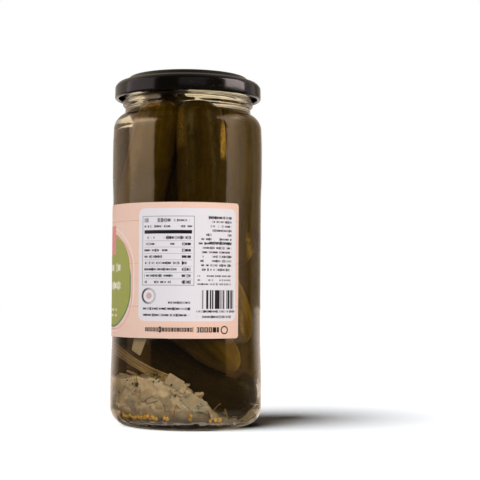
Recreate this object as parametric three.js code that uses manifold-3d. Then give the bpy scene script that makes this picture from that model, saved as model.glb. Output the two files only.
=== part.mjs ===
// A jar of gherkins: a glass jar with a twist-off cap, a paper label round most of
// its wall, and the gherkins and diced onion that fill it.
// Millimetres, +Z up, origin at the centre of the base. The photographed side faces -Y.

import * as THREE from 'three';
import { mergeVertices } from 'three/addons/utils/BufferGeometryUtils.js';
import Module from 'manifold-3d';

const wasm = await Module();
wasm.setup();

// Round parts share one angular step, so that nested walls keep their gap
const SEGMENTS = 48;
const LID_SEGMENTS = 40;

// Glass jar, outside
const BASE_RISE = 1.6;
const FOOT_INNER_RADIUS = 26.8;
const FOOT_SLOPE = 4;
const HEEL_RADIUS = 9.2;
const HEEL_BAND_RADIUS = 37.55;
const SHOULDER_BAND_RADIUS = 37.35;
const PANEL_RADIUS = 36.95;
const PANEL_BOTTOM = 40.5;
const PANEL_TOP = 114;
const PANEL_STEP = 1.2;
const SHOULDER_BOTTOM = 146.6;
const SHOULDER_RADIUS = 8.6;
const SHOULDER_SWEEP = THREE.MathUtils.degToRad(64);
const NECK_RADIUS = 31.3;
const NECK_Z = 157;
const NECK_FLARE = 0.3;
const NECK_HALF_HEIGHT = 1.25;
const BEAD_RADIUS = 32.4;
const BEAD_Z = 159.7;
const BEAD_HALF_HEIGHT = 0.45;
const BEAD_FADE = 1.5;
const FINISH_RADIUS = 31.9;
const RIM_Z = 169;
const RIM_ROUNDING = 0.9;

// Glass jar, inside
const WALL = 2.2;
const INNER_RADIUS = 35.1;
const FLOOR_Z = 4.6;
const FLOOR_DISH = 0.3;
const INNER_HEEL_RADIUS = 7.4;
const INNER_SHOULDER_SWEEP = THREE.MathUtils.degToRad(70);
const THROAT_RADIUS = 28.9;
const THROAT_HEIGHT = 2.2;
const MOUTH_RADIUS = 29.1;

// Thread leads on the jar's mouth
const THREAD_LEADS = 4;
const THREAD_SPAN = THREE.MathUtils.degToRad(58);
const THREAD_Z = 165.2;
const THREAD_RISE = 1.4;
const THREAD_REACH = 1.9;
const THREAD_HEIGHT = 2.2;
const THREAD_START = THREE.MathUtils.degToRad(-22);
const THREAD_ROOT = 0.8;
const RIB_FADE = 6;
const RIB_END = 0.25;

// Twist-off cap
const LID_RADIUS = 36.6;
const LID_SHEET = 0.6;
const LID_BOTTOM = 162.1;
const LID_SHOULDER_Z = 170.2;
const LID_CORNER = 1.45;
const LID_TOP_Z = 173.1;
const LID_RING_RADIUS = 30;
const LID_RING_ROUNDING = 0.65;
const LID_RING_SLOPE = 1.3;
const LID_PANEL_RADIUS = 25.6;
const LID_PANEL_DROP = 0.55;
const LID_PANEL_SLOPE = 1.1;
const LID_BUTTON_RADIUS = 12.2;
const LID_BUTTON_DROP = 0.5;
const LID_BUTTON_SLOPE = 1.2;
const CURL_RADIUS = 0.95;
const CURL_TURN = 1.22 * Math.PI;
const CURL_LIFT = 0.3;
const LUG_SPAN = THREE.MathUtils.degToRad(15);
const LUG_REACH = 1.25;
const LUG_HEIGHT = 1.1;
const LUG_TURN = THREE.MathUtils.degToRad(24);
const LUG_ROOT = 1.4;

// Paper label: azimuths run from the front (-Y) towards +X
const LABEL_GAP = 0.15;
const LABEL_PAPER = 0.2;
const LABEL_BOTTOM = 44.1;
const LABEL_TOP = 108.4;
const LABEL_CORNER = 1.6;
const CLEAR_FROM = THREE.MathUtils.degToRad(41.4);
const CLEAR_TO = THREE.MathUtils.degToRad(126.5);
const CUT_MARGIN = 1;
const CUT_FROM = 15;
const CUT_DEPTH = 30;

// Gherkins: points along the middle of each, from its stem end, and its greatest radius
const GHERKIN_SIDES = 10;
const GHERKIN_RINGS = 9;
const GHERKIN_BLUNTNESS = 4;
const GHERKIN_TIP = 0.14;
const GHERKIN_LUMP = 0.03;
const GHERKINS = {
  frontRight: { radius: 11.2, path: [[7, -21.4, 83], [6.6, -23, 112], [5.9, -22.6, 138], [6.2, -17.4, 166]] },
  frontLeft: { radius: 11, path: [[-11.5, -18, 160], [-15, -18.6, 140], [-20.2, -11.8, 112], [-24, -2, 79]] },
  farLeft: { radius: 11, path: [[-21, 7.4, 148], [-22.6, 8.4, 122], [-22, 10, 84]] },
  rightUpper: { radius: 11.2, path: [[18.5, -5.5, 160], [21.8, -7.2, 136], [21.5, -8, 79]] },
  rightSlant: { radius: 10.6, path: [[-15, -15, 89], [-3, -20.6, 78], [13.5, -18.2, 66], [24.5, -7.4, 41]] },
  rightBack: { radius: 11, path: [[20, 9, 18], [17.6, 14.6, 48], [18, 13.6, 88]] },
  underLabel: { radius: 11, path: [[-22, -9, 74], [-13, -18, 63], [1, -22.2, 50], [23, -19.6, 28.5]] },
  bottomSlant: { radius: 12.2, path: [[-27, -5, 52], [-11, -8.2, 37], [9, -8, 20.5], [28, -8.2, 10]] },
  backLeftUpper: { radius: 10.6, path: [[-7, 20.4, 86], [-7.5, 22.4, 124], [-7, 17.4, 163]] },
  backRightUpper: { radius: 10.6, path: [[14, 17, 91], [15, 17.6, 128], [11.5, 15.2, 163]] },
  backLeftLower: { radius: 10.6, path: [[-19, 9, 19], [-20.4, 11.6, 46], [-17, 14.6, 84]] },
  backLower: { radius: 10.6, path: [[-1, 19, 14], [-0.6, 22.8, 42], [1, 22, 82]] },
};
const CORE = { radius: 15.4, path: [[0, 0, 24], [-1, 1, 90], [0, 0, 162]] };

// Bed of diced onion, dill stalks and mustard seed
const BED_CLEARANCE = 0.35;
const BED_SECTORS = 24;
const BED_RINGS = 5;
const BED_REACH = 31.6;
const BED_HUB = 0.5;
const BED_BULGE = 0.9;
const BED_FOOT_Z = 2.6;
const BED_LEAST_DEPTH = 2.5;
const BED_MIDDLE_Z = 21;
const BED_SLOPE = 0.8;
const BED_TOP_Z = 33;
const BED_LUMP = 1.2;
const BED_BACK = { from: -5, to: 30, drop: 0.4 };
const DICE = {
  count: 28, length: 8, width: 5.5, thickness: 2.6, least: 0.7, spread: 0.6,
  reach: 33.2, depth: 3, lean: 0.7, turn: 0.5, lowest: FLOOR_Z + 4,
};
const STALKS = { count: 4, radius: 0.8, drop: 1.3, steps: 10 };
const STALK_LINE = [
  { azimuth: -1.2, radius: 33.2, inward: 0.2, z: 36 },
  { azimuth: -0.85, radius: 33, inward: 0.4, z: 33 },
  { azimuth: -0.5, radius: 32.4, inward: 0.5, z: 28.5 },
  { azimuth: -0.2, radius: 30.5, inward: 0, z: 24.5 },
];
const SEEDS = {
  count: 18, radius: 0.95, from: THREE.MathUtils.degToRad(-62), span: THREE.MathUtils.degToRad(100),
  stray: THREE.MathUtils.degToRad(5), reach: 30.6, depth: 0.6, lowest: FLOOR_Z + 2.6, rise: 1.2,
};

const glass = new THREE.MeshStandardMaterial({
  color: 0xd5dcd6, roughness: 0.04, metalness: 0, transparent: true, opacity: 0.3,
});
const blackLacquer = new THREE.MeshStandardMaterial({ color: 0x0d0c0c, roughness: 0.22, metalness: 0.3 });
const paper = new THREE.MeshStandardMaterial({ color: 0xecc3ae, roughness: 0.45, metalness: 0 });
const gherkinSkin = new THREE.MeshStandardMaterial({ color: 0x4a3c0c, roughness: 0.4, metalness: 0 });
const onionFlesh = new THREE.MeshStandardMaterial({ color: 0xa08c66, roughness: 0.5, metalness: 0 });

// Seeded random numbers from 0 to 1
function makeRandom(seed) {
  let state = seed;
  return () => {
    state = (Math.imul(state, 1664525) + 1013904223) >>> 0;
    return state / 4294967296;
  };
}

function solidOf(geometry) {
  geometry.deleteAttribute('normal');
  geometry.deleteAttribute('uv');
  const merged = mergeVertices(geometry, 1e-4);
  return new wasm.Manifold(new wasm.Mesh({
    numProp: 3,
    vertProperties: Float32Array.from(merged.attributes.position.array),
    triVerts: Uint32Array.from(merged.index.array),
  }));
}

// The solid's largest closed shell: a sealed hollow is filled, and a loose scrap dropped
function largestShell(solid) {
  const { vertProperties, triVerts } = solid.getMesh();
  const parents = Array.from({ length: vertProperties.length / 3 }, (_, vertex) => vertex);
  const rootOf = (vertex) => {
    let root = vertex;
    while (parents[root] !== root) {
      parents[root] = parents[parents[root]];
      root = parents[root];
    }
    return root;
  };
  for (let i = 0; i < triVerts.length; i += 3) {
    parents[rootOf(triVerts[i])] = rootOf(triVerts[i + 1]);
    parents[rootOf(triVerts[i + 1])] = rootOf(triVerts[i + 2]);
  }
  const shells = new Map();
  for (let i = 0; i < triVerts.length; i += 3) {
    const root = rootOf(triVerts[i]);
    const shell = shells.get(root) ?? [];
    shell.push(...triVerts.slice(i, i + 3));
    shells.set(root, shell);
  }
  const largest = [...shells.values()].reduce((best, shell) => (shell.length > best.length ? shell : best));
  return new wasm.Manifold(new wasm.Mesh({
    numProp: 3, vertProperties, triVerts: Uint32Array.from(largest),
  }));
}

function geometryOf(solid) {
  const mesh = solid.getMesh();
  const geometry = new THREE.BufferGeometry();
  geometry.setAttribute('position', new THREE.BufferAttribute(mesh.vertProperties, 3));
  geometry.setIndex(new THREE.BufferAttribute(mesh.triVerts, 1));
  return geometry;
}

function namedMesh(name, geometry, material) {
  geometry.computeVertexNormals();
  const mesh = new THREE.Mesh(geometry, material);
  mesh.name = name;
  return mesh;
}

// Full turn of an outline of [radius, height] points, about Z
function turned(outline, segments) {
  const points = outline.map(([radius, z]) => new THREE.Vector2(radius, z));
  const geometry = new THREE.LatheGeometry(points, segments);
  geometry.rotateX(Math.PI / 2);
  return geometry;
}

// Points on an arc in the outline, from one angle to another, about [radius, z]
function arc(centre, radius, from, to, steps) {
  const points = [];
  for (let i = 0; i <= steps; i += 1) {
    const angle = from + (to - from) * i / steps;
    points.push([centre[0] + radius * Math.cos(angle), centre[1] + radius * Math.sin(angle)]);
  }
  return points;
}

// A place on the jar at an azimuth from the front towards +X
function atAzimuth(azimuth, radius, z) {
  return new THREE.Vector3(radius * Math.sin(azimuth), -radius * Math.cos(azimuth), z);
}

// A closed solid through rings of equal point counts, with a flat face at each end
function lofted(rings) {
  const sides = rings[0].length;
  const positions = rings.flat().flatMap((point) => [point.x, point.y, point.z]);
  const faces = [];
  for (let ring = 0; ring < rings.length - 1; ring += 1) {
    for (let side = 0; side < sides; side += 1) {
      const a = ring * sides + side;
      const b = ring * sides + (side + 1) % sides;
      faces.push(a, b, b + sides, a, b + sides, a + sides);
    }
  }
  const last = (rings.length - 1) * sides;
  for (let side = 1; side < sides - 1; side += 1) {
    faces.push(0, side + 1, side);
    faces.push(last, last + side, last + side + 1);
  }
  const geometry = new THREE.BufferGeometry();
  geometry.setAttribute('position', new THREE.BufferAttribute(Float32Array.from(positions), 3));
  geometry.setIndex(faces);
  return geometry;
}

// A raised rib round the axis: its section reaches out from one radius to another
function rib(startAngle, span, inner, outer, z, rise, height, steps) {
  const rings = [];
  for (let i = 0; i <= steps; i += 1) {
    const t = i / steps;
    const angle = startAngle + span * t;
    const middle = z + rise * (t - 0.5);
    const fade = Math.min(1, RIB_FADE * t + RIB_END, RIB_FADE * (1 - t) + RIB_END);
    const reach = inner > outer ? outer + (inner - outer) * (1 - fade) : inner + (outer - inner) * fade;
    const base = atAzimuth(angle, inner, middle - height / 2);
    const tipLow = atAzimuth(angle, reach, middle - height / 4);
    const tipHigh = atAzimuth(angle, reach, middle + height / 4);
    const top = atAzimuth(angle, inner, middle + height / 2);
    rings.push(inner > outer ? [base, tipLow, tipHigh, top] : [top, tipHigh, tipLow, base]);
  }
  return lofted(rings);
}

function jarOutside() {
  const heelCentre = HEEL_BAND_RADIUS - HEEL_RADIUS;
  const shoulderCentre = SHOULDER_BAND_RADIUS - SHOULDER_RADIUS;
  return [
    [0, BASE_RISE],
    [FOOT_INNER_RADIUS - FOOT_SLOPE, BASE_RISE],
    [FOOT_INNER_RADIUS, 0],
    ...arc([heelCentre, HEEL_RADIUS], HEEL_RADIUS, -Math.PI / 2, 0, 5),
    [HEEL_BAND_RADIUS, PANEL_BOTTOM - PANEL_STEP],
    [PANEL_RADIUS, PANEL_BOTTOM],
    [PANEL_RADIUS, PANEL_TOP],
    [SHOULDER_BAND_RADIUS, PANEL_TOP + PANEL_STEP],
    ...arc([shoulderCentre, SHOULDER_BOTTOM], SHOULDER_RADIUS, 0, SHOULDER_SWEEP, 4),
    [NECK_RADIUS + NECK_FLARE, NECK_Z - NECK_HALF_HEIGHT],
    [NECK_RADIUS, NECK_Z],
    [NECK_RADIUS + NECK_FLARE, NECK_Z + NECK_HALF_HEIGHT],
    [BEAD_RADIUS, BEAD_Z - BEAD_HALF_HEIGHT],
    [BEAD_RADIUS, BEAD_Z + BEAD_HALF_HEIGHT],
    [FINISH_RADIUS, BEAD_Z + BEAD_FADE],
  ];
}

function jarInside() {
  const heelCentre = INNER_RADIUS - INNER_HEEL_RADIUS;
  const shoulderInner = SHOULDER_RADIUS - WALL;
  const shoulderCentre = INNER_RADIUS - shoulderInner;
  return [
    [MOUTH_RADIUS, NECK_Z],
    [THROAT_RADIUS, NECK_Z - THROAT_HEIGHT],
    ...arc([shoulderCentre, SHOULDER_BOTTOM], shoulderInner, INNER_SHOULDER_SWEEP, 0, 3),
    ...arc([heelCentre, FLOOR_Z + INNER_HEEL_RADIUS], INNER_HEEL_RADIUS, 0, -Math.PI / 2, 3),
    [0, FLOOR_Z - FLOOR_DISH],
  ];
}

function jarSolid() {
  const outline = [
    ...jarOutside(),
    [FINISH_RADIUS, RIM_Z - RIM_ROUNDING],
    [FINISH_RADIUS - RIM_ROUNDING, RIM_Z],
    [MOUTH_RADIUS + RIM_ROUNDING, RIM_Z],
    [MOUTH_RADIUS, RIM_Z - RIM_ROUNDING],
    ...jarInside(),
  ];
  let solid = solidOf(turned(outline, SEGMENTS));
  for (let lead = 0; lead < THREAD_LEADS; lead += 1) {
    const start = THREAD_START + lead * 2 * Math.PI / THREAD_LEADS;
    const ridge = rib(start, THREAD_SPAN, FINISH_RADIUS - THREAD_ROOT, FINISH_RADIUS + THREAD_REACH,
      THREAD_Z, THREAD_RISE, THREAD_HEIGHT, 9);
    solid = solid.add(solidOf(ridge));
  }
  return solid;
}

// The same line moved sideways, to the right of its direction
function offsetLine(line, distance) {
  return line.map(([radius, z], i) => {
    const before = line[Math.max(0, i - 1)];
    const after = line[Math.min(line.length - 1, i + 1)];
    const run = [after[0] - before[0], after[1] - before[1]];
    const length = Math.hypot(...run);
    return [radius + distance * run[1] / length, z - distance * run[0] / length];
  });
}

// The cap's sheet: over the top and down the skirt, round the curl, and back up inside
function lidSolid() {
  const curlCentre = [LID_RADIUS - CURL_RADIUS, LID_BOTTOM + CURL_RADIUS];
  const panelZ = LID_TOP_Z - LID_PANEL_DROP;
  const buttonZ = panelZ - LID_BUTTON_DROP;
  const outside = [
    [0, buttonZ],
    [LID_BUTTON_RADIUS, buttonZ],
    [LID_BUTTON_RADIUS + LID_BUTTON_SLOPE, panelZ],
    [LID_PANEL_RADIUS, panelZ],
    [LID_PANEL_RADIUS + LID_PANEL_SLOPE, LID_TOP_Z],
    [LID_RING_RADIUS - LID_RING_ROUNDING, LID_TOP_Z],
    [LID_RING_RADIUS, LID_TOP_Z - LID_RING_ROUNDING],
    [LID_RING_RADIUS + LID_RING_SLOPE, LID_SHOULDER_Z],
    [LID_RADIUS - LID_CORNER, LID_SHOULDER_Z],
    [LID_RADIUS, LID_SHOULDER_Z - LID_CORNER],
    [LID_RADIUS, LID_BOTTOM + 2 * CURL_RADIUS + CURL_LIFT],
  ];
  const curl = arc(curlCentre, CURL_RADIUS, 0, -CURL_TURN, 5);
  const inside = offsetLine(outside, LID_SHEET).reverse();
  const outline = [...outside.slice(0, -1), ...curl, ...inside].reverse();
  let solid = solidOf(turned(outline, LID_SEGMENTS));
  for (let lug = 0; lug < THREAD_LEADS; lug += 1) {
    const start = LUG_TURN + lug * 2 * Math.PI / THREAD_LEADS;
    const inner = LID_RADIUS - LUG_ROOT;
    const finger = rib(start, LUG_SPAN, inner, inner - LUG_REACH,
      LID_BOTTOM + CURL_RADIUS, 0, LUG_HEIGHT, 4);
    solid = solid.add(solidOf(finger));
  }
  return solid;
}

// The opening between the label's two ends, with the label's corners left rounded
function clearStrip() {
  const middle = (CLEAR_FROM + CLEAR_TO) / 2;
  const halfAngle = (CLEAR_TO - CLEAR_FROM) / 2;
  const radius = PANEL_RADIUS + LABEL_GAP;
  const halfWidth = radius * Math.sin(halfAngle);
  const corner = LABEL_CORNER;
  const across = corner * Math.cos(halfAngle);
  const low = LABEL_BOTTOM;
  const high = LABEL_TOP;
  const shape = new THREE.Shape();
  shape.moveTo(-halfWidth - across, low - CUT_MARGIN);
  shape.lineTo(halfWidth + across, low - CUT_MARGIN);
  shape.lineTo(halfWidth + across, low);
  shape.quadraticCurveTo(halfWidth, low, halfWidth, low + corner);
  shape.lineTo(halfWidth, high - corner);
  shape.quadraticCurveTo(halfWidth, high, halfWidth + across, high);
  shape.lineTo(halfWidth + across, high + CUT_MARGIN);
  shape.lineTo(-halfWidth - across, high + CUT_MARGIN);
  shape.lineTo(-halfWidth - across, high);
  shape.quadraticCurveTo(-halfWidth, high, -halfWidth, high - corner);
  shape.lineTo(-halfWidth, low + corner);
  shape.quadraticCurveTo(-halfWidth, low, -halfWidth - across, low);
  shape.closePath();
  const settings = { depth: CUT_DEPTH, bevelEnabled: false, curveSegments: 4 };
  const geometry = new THREE.ExtrudeGeometry(shape, settings);
  geometry.rotateX(Math.PI / 2);
  geometry.translate(0, -CUT_FROM, 0);
  geometry.rotateZ(middle);
  return solidOf(geometry);
}

function labelSolid() {
  const inner = PANEL_RADIUS + LABEL_GAP;
  const outer = inner + LABEL_PAPER;
  const outline = [
    [inner, LABEL_BOTTOM],
    [outer, LABEL_BOTTOM],
    [outer, LABEL_TOP],
    [inner, LABEL_TOP],
    [inner, LABEL_BOTTOM],
  ];
  return solidOf(turned(outline, SEGMENTS)).subtract(clearStrip());
}

// One gherkin round a curved middle line, blunt at both ends and a little lumpy
function gherkin({ radius, path }, seed, grow = 0) {
  const random = makeRandom(seed);
  const points = path.map((point) => new THREE.Vector3(...point));
  const curve = new THREE.CatmullRomCurve3(points, false, 'catmullrom', 0.5);
  const frames = curve.computeFrenetFrames(GHERKIN_RINGS, false);
  const rings = [];
  for (let ring = 0; ring <= GHERKIN_RINGS; ring += 1) {
    const t = 0.5 - 0.5 * Math.cos(Math.PI * ring / GHERKIN_RINGS);
    const swell = Math.max(GHERKIN_TIP, Math.sqrt(1 - Math.abs(2 * t - 1) ** GHERKIN_BLUNTNESS));
    const centre = curve.getPoint(t);
    const frame = Math.min(GHERKIN_RINGS, Math.round(t * GHERKIN_RINGS));
    const section = [];
    for (let side = 0; side < GHERKIN_SIDES; side += 1) {
      const angle = 2 * Math.PI * side / GHERKIN_SIDES;
      const lump = 1 + GHERKIN_LUMP * (2 * random() - 1);
      const reach = radius * swell * lump + grow;
      const point = centre.clone();
      point.addScaledVector(frames.normals[frame], reach * Math.cos(angle));
      point.addScaledVector(frames.binormals[frame], reach * Math.sin(angle));
      section.push(point);
    }
    rings.push(section);
  }
  return solidOf(lofted(rings));
}

function gherkinHeap(grow) {
  let heap = gherkin(CORE, 1, grow);
  Object.values(GHERKINS).forEach((piece, index) => {
    heap = heap.add(gherkin(piece, index + 2, grow));
  });
  return largestShell(heap.intersect(fillEnvelope(BED_CLEARANCE - grow)));
}

// The space inside the glass, drawn in by a clearance
function fillEnvelope(clearance) {
  const heelTop = FLOOR_Z + INNER_HEEL_RADIUS;
  const inside = jarInside().reverse().map(([radius, z]) => {
    return [Math.max(0, radius - clearance), z < heelTop ? z + clearance : z];
  });
  inside.push([MOUTH_RADIUS - clearance, RIM_Z - clearance]);
  inside.push([0, RIM_Z - clearance]);
  return solidOf(turned(inside, SEGMENTS));
}

function bedHeight(x, y, random) {
  const back = THREE.MathUtils.smoothstep(y, BED_BACK.from, BED_BACK.to);
  const slope = Math.min(BED_TOP_Z, BED_MIDDLE_Z - BED_SLOPE * x);
  const height = Math.max(FLOOR_Z + BED_LEAST_DEPTH, slope * (1 - BED_BACK.drop * back));
  return height + BED_LUMP * (2 * random() - 1);
}

// The heaped middle of the bed, as rings of points under an uneven sloping top
function bedCore(random) {
  const rings = [];
  for (let ring = BED_RINGS; ring >= 0; ring -= 1) {
    const points = [];
    for (let side = 0; side < BED_SECTORS; side += 1) {
      const angle = 2 * Math.PI * side / BED_SECTORS;
      const uneven = BED_REACH * ring / BED_RINGS + BED_BULGE * (2 * random() - 1);
      const radius = Math.max(BED_HUB, uneven);
      const x = radius * Math.cos(angle);
      const y = radius * Math.sin(angle);
      points.push(new THREE.Vector3(x, y, bedHeight(x, y, random)));
    }
    rings.push(points);
  }
  const foot = rings[0].map((point) => new THREE.Vector3(point.x, point.y, BED_FOOT_Z));
  return solidOf(lofted([foot, ...rings]));
}

// Flat pieces of onion that stand out of the bed, most of them against the glass
function onionDice(random) {
  const pieces = [];
  for (let i = 0; i < DICE.count; i += 1) {
    const azimuth = 2 * Math.PI * (i + random()) / DICE.count;
    const size = DICE.least + DICE.spread * random();
    const piece = new THREE.BoxGeometry(DICE.length * size, DICE.thickness, DICE.width * size);
    const place = atAzimuth(azimuth, DICE.reach - DICE.depth * random(), 0);
    const top = bedHeight(place.x, place.y, () => 0.5);
    piece.rotateY(Math.PI * random());
    piece.rotateX(DICE.lean * (random() - 0.5));
    piece.rotateZ(azimuth + DICE.turn * (random() - 0.5));
    piece.translate(place.x, place.y, THREE.MathUtils.lerp(DICE.lowest, top, random()));
    pieces.push(solidOf(piece));
  }
  return pieces;
}

// Dill stalks that lie down across the front of the bed
function dillStalks() {
  const pieces = [];
  const section = new THREE.Shape();
  section.absellipse(0, 0, STALKS.radius, STALKS.radius, 0, 2 * Math.PI, false);
  for (let i = 0; i < STALKS.count; i += 1) {
    const points = STALK_LINE.map(({ azimuth, radius, inward, z }) => {
      return atAzimuth(azimuth, radius - inward * i, z - STALKS.drop * i);
    });
    const curve = new THREE.CatmullRomCurve3(points);
    const settings = { steps: STALKS.steps, curveSegments: 3, extrudePath: curve };
    pieces.push(solidOf(new THREE.ExtrudeGeometry(section, settings)));
  }
  return pieces;
}

// Mustard seeds along the foot of the bed
function mustardSeeds(random) {
  const pieces = [];
  for (let i = 0; i < SEEDS.count; i += 1) {
    const azimuth = SEEDS.from + SEEDS.span * i / SEEDS.count + SEEDS.stray * random();
    const seed = new THREE.IcosahedronGeometry(SEEDS.radius, 0);
    const z = SEEDS.lowest + SEEDS.rise * random();
    const place = atAzimuth(azimuth, SEEDS.reach + SEEDS.depth * random(), z);
    seed.translate(place.x, place.y, place.z);
    pieces.push(solidOf(seed));
  }
  return pieces;
}

function onionBed() {
  const random = makeRandom(77);
  let bed = bedCore(random);
  for (const piece of [...onionDice(random), ...dillStalks(), ...mustardSeeds(random)]) {
    bed = bed.add(piece);
  }
  const shaped = bed.intersect(fillEnvelope(BED_CLEARANCE)).subtract(gherkinHeap(BED_CLEARANCE));
  return largestShell(shaped);
}

const pickleJar = new THREE.Group();
pickleJar.add(namedMesh('jar', geometryOf(jarSolid()), glass));
pickleJar.add(namedMesh('lid', geometryOf(lidSolid()), blackLacquer));
pickleJar.add(namedMesh('label', geometryOf(labelSolid()), paper));
pickleJar.add(namedMesh('gherkins', geometryOf(gherkinHeap(0)), gherkinSkin));
pickleJar.add(namedMesh('onion_bed', geometryOf(onionBed()), onionFlesh));

export default pickleJar;
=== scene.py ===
import math
import random

import bmesh
import bpy
from mathutils import Matrix, Vector, noise


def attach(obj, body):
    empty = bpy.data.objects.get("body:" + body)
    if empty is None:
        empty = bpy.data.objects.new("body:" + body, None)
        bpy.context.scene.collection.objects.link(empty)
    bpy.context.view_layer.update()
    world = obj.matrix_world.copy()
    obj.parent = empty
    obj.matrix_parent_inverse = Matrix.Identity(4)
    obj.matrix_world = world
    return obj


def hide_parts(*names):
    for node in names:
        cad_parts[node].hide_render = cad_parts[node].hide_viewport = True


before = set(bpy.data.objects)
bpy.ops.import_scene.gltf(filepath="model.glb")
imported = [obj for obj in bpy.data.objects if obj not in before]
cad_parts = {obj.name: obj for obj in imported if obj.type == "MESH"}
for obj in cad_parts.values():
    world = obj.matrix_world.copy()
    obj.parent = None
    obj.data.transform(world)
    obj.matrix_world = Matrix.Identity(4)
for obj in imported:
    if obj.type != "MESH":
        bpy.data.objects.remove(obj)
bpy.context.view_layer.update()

MM = 0.001
TURN_STEPS = 192

# Jar, in mm, as in the part's source
BASE_RISE = 1.6
FOOT_INNER_RADIUS = 26.8
HEEL_RADIUS = 9.2
HEEL_BAND_RADIUS = 37.55
SHOULDER_BAND_RADIUS = 37.35
PANEL_RADIUS = 36.95
PANEL_BOTTOM = 40.5
PANEL_TOP = 114.0
SHOULDER_BOTTOM = 146.6
SHOULDER_RADIUS = 8.6
SHOULDER_SWEEP = math.radians(64)
NECK_RADIUS = 31.3
NECK_Z = 157.0
BEAD_RADIUS = 32.4
BEAD_Z = 159.7
FINISH_RADIUS = 31.9
RIM_Z = 169.0
WALL = 2.2
INNER_RADIUS = 35.1
FLOOR_Z = 4.6
INNER_HEEL_RADIUS = 7.4
MOUTH_RADIUS = 29.1
THREAD_LEADS = 4
THREAD_SPAN = math.radians(58)
THREAD_START = math.radians(-22)
THREAD_Z = 165.2
THREAD_RISE = 1.4
THREAD_REACH = 1.5
BRINE_LEVEL = 164.3
BRINE_INTO_WALL = 0.06

# Cap
LID_RADIUS = 36.6
LID_SHEET = 0.6
LID_BOTTOM = 162.1
LID_SHOULDER_Z = 170.2
LID_TOP_Z = 173.1
LID_RING_RADIUS = 30.0
LID_PANEL_RADIUS = 25.6
LID_BUTTON_RADIUS = 12.2
CURL_RADIUS = 0.95
LUG_AZIMUTH = 31.5
LUG_HALF_SPAN = math.radians(9)
LUG_REACH = 1.1

# Label: arc lengths run from the front (-Y) towards +X
LABEL_RADIUS = 37.3
LABEL_PAPER = 0.18
LABEL_BOTTOM = 43.9
LABEL_TOP = 108.4
LABEL_RIGHT = 27.0
LABEL_LEFT = -152.0
LABEL_CORNER = 1.5
LABEL_COLUMNS = 120
FRONT_END = -27
TABLE_END = 4.3
FOOT_TOP = 68.4
SHARP_ANGLE = 0.6

# Onion bed, in mm: the core that fills the heap, and the bits on it
CORE_RADIUS = 34.5
CORE_HEEL_Z = 12
CORE_HEEL_RADIUS = 6.8
ONION_BITS = 260
BITS_AT_WALL = 130

GHERKIN_RINGS = 72
GHERKIN_SIDES = 48

# Each gherkin: its greatest radius and the points along its middle, in mm
GHERKINS = {
    "front_right": (11.2, [(7, -21.4, 83), (6.6, -23, 112), (5.9, -22.6, 138), (4, -19.5, 160)]),
    "front_left": (11.0, [(-11.5, -18, 160), (-15, -18.6, 140), (-20.2, -11.8, 112), (-24, -2, 79)]),
    "far_left": (11.0, [(-21, 7.4, 148), (-22.6, 8.4, 122), (-22, 10, 84)]),
    "right_upper": (11.2, [(19.5, -5.8, 154), (21.8, -7.2, 134), (21.5, -8, 79)]),
    "right_slant": (10.6, [(-15, -15, 89), (-3, -20.6, 78), (13.5, -18.2, 66), (24.5, -7.4, 41)]),
    "right_back": (11.0, [(20, 9, 18), (17.6, 14.6, 48), (18, 13.6, 88)]),
    "under_label": (11.0, [(-22, -9, 74), (-13, -18, 63), (1, -22.2, 50), (23, -19.6, 28.5)]),
    "bottom_slant": (12.2, [(-27, -5, 52), (-11, -8.2, 37), (10, -8, 21), (31, -8.2, 12.5)]),
    "back_left_upper": (10.6, [(-7, 20.4, 86), (-7.5, 22.4, 124), (-7, 16, 167.5)]),
    "back_right_upper": (10.6, [(14, 17, 91), (15, 17.6, 128), (13, 15.5, 153)]),
    "back_left_lower": (10.6, [(-19, 9, 19), (-20.4, 11.6, 46), (-17, 14.6, 84)]),
    "back_lower": (10.6, [(-1, 19, 14), (-0.6, 22.8, 42), (1, 22, 82)]),
    "middle_lower": (10.4, [(1, 2, 30), (-2, 1, 62), (0, 1, 98)]),
    "middle_upper": (10.4, [(1, 1, 97), (-3, 1, 130), (-11.5, 4, 167)]),
}


def tone(red, green, blue):
    """A colour as seen on a screen, from 0 to 255 each, as a linear colour."""
    def linear(level):
        level /= 255
        return level / 12.92 if level <= 0.04045 else ((level + 0.055) / 1.055) ** 2.4
    return (linear(red), linear(green), linear(blue), 1.0)


class Wire:
    """A value in a shader. An expression on wires and numbers adds its Math nodes."""

    def __init__(self, shader, socket):
        self.shader = shader
        self.socket = socket

    def math(self, operation, *values, clamped=False):
        settings = {"operation": operation, "use_clamp": clamped}
        return self.shader.add("ShaderNodeMath", settings, values)

    def __add__(self, other):
        return self.math("ADD", self, other)

    __radd__ = __add__

    def __mul__(self, other):
        return self.math("MULTIPLY", self, other)

    __rmul__ = __mul__

    def __sub__(self, other):
        return self.math("SUBTRACT", self, other)

    def __rsub__(self, other):
        return self.math("SUBTRACT", other, self)

    def __truediv__(self, other):
        return self.math("DIVIDE", self, other)

    def __pow__(self, other):
        return self.math("POWER", self, other)

    def floor(self):
        return self.math("FLOOR", self)

    def fraction(self):
        return self.math("FRACT", self)

    def size(self):
        return self.math("ABSOLUTE", self)

    def most(self, other):
        return self.math("MAXIMUM", self, other)

    def above(self, limit):
        return self.math("GREATER_THAN", self, limit)

    def below(self, limit):
        return self.math("LESS_THAN", self, limit)

    def rise(self, low, high):
        """0 under low, 1 over high, and a straight ramp between."""
        return self.math("MULTIPLY", self - low, 1 / (high - low), clamped=True)


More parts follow.
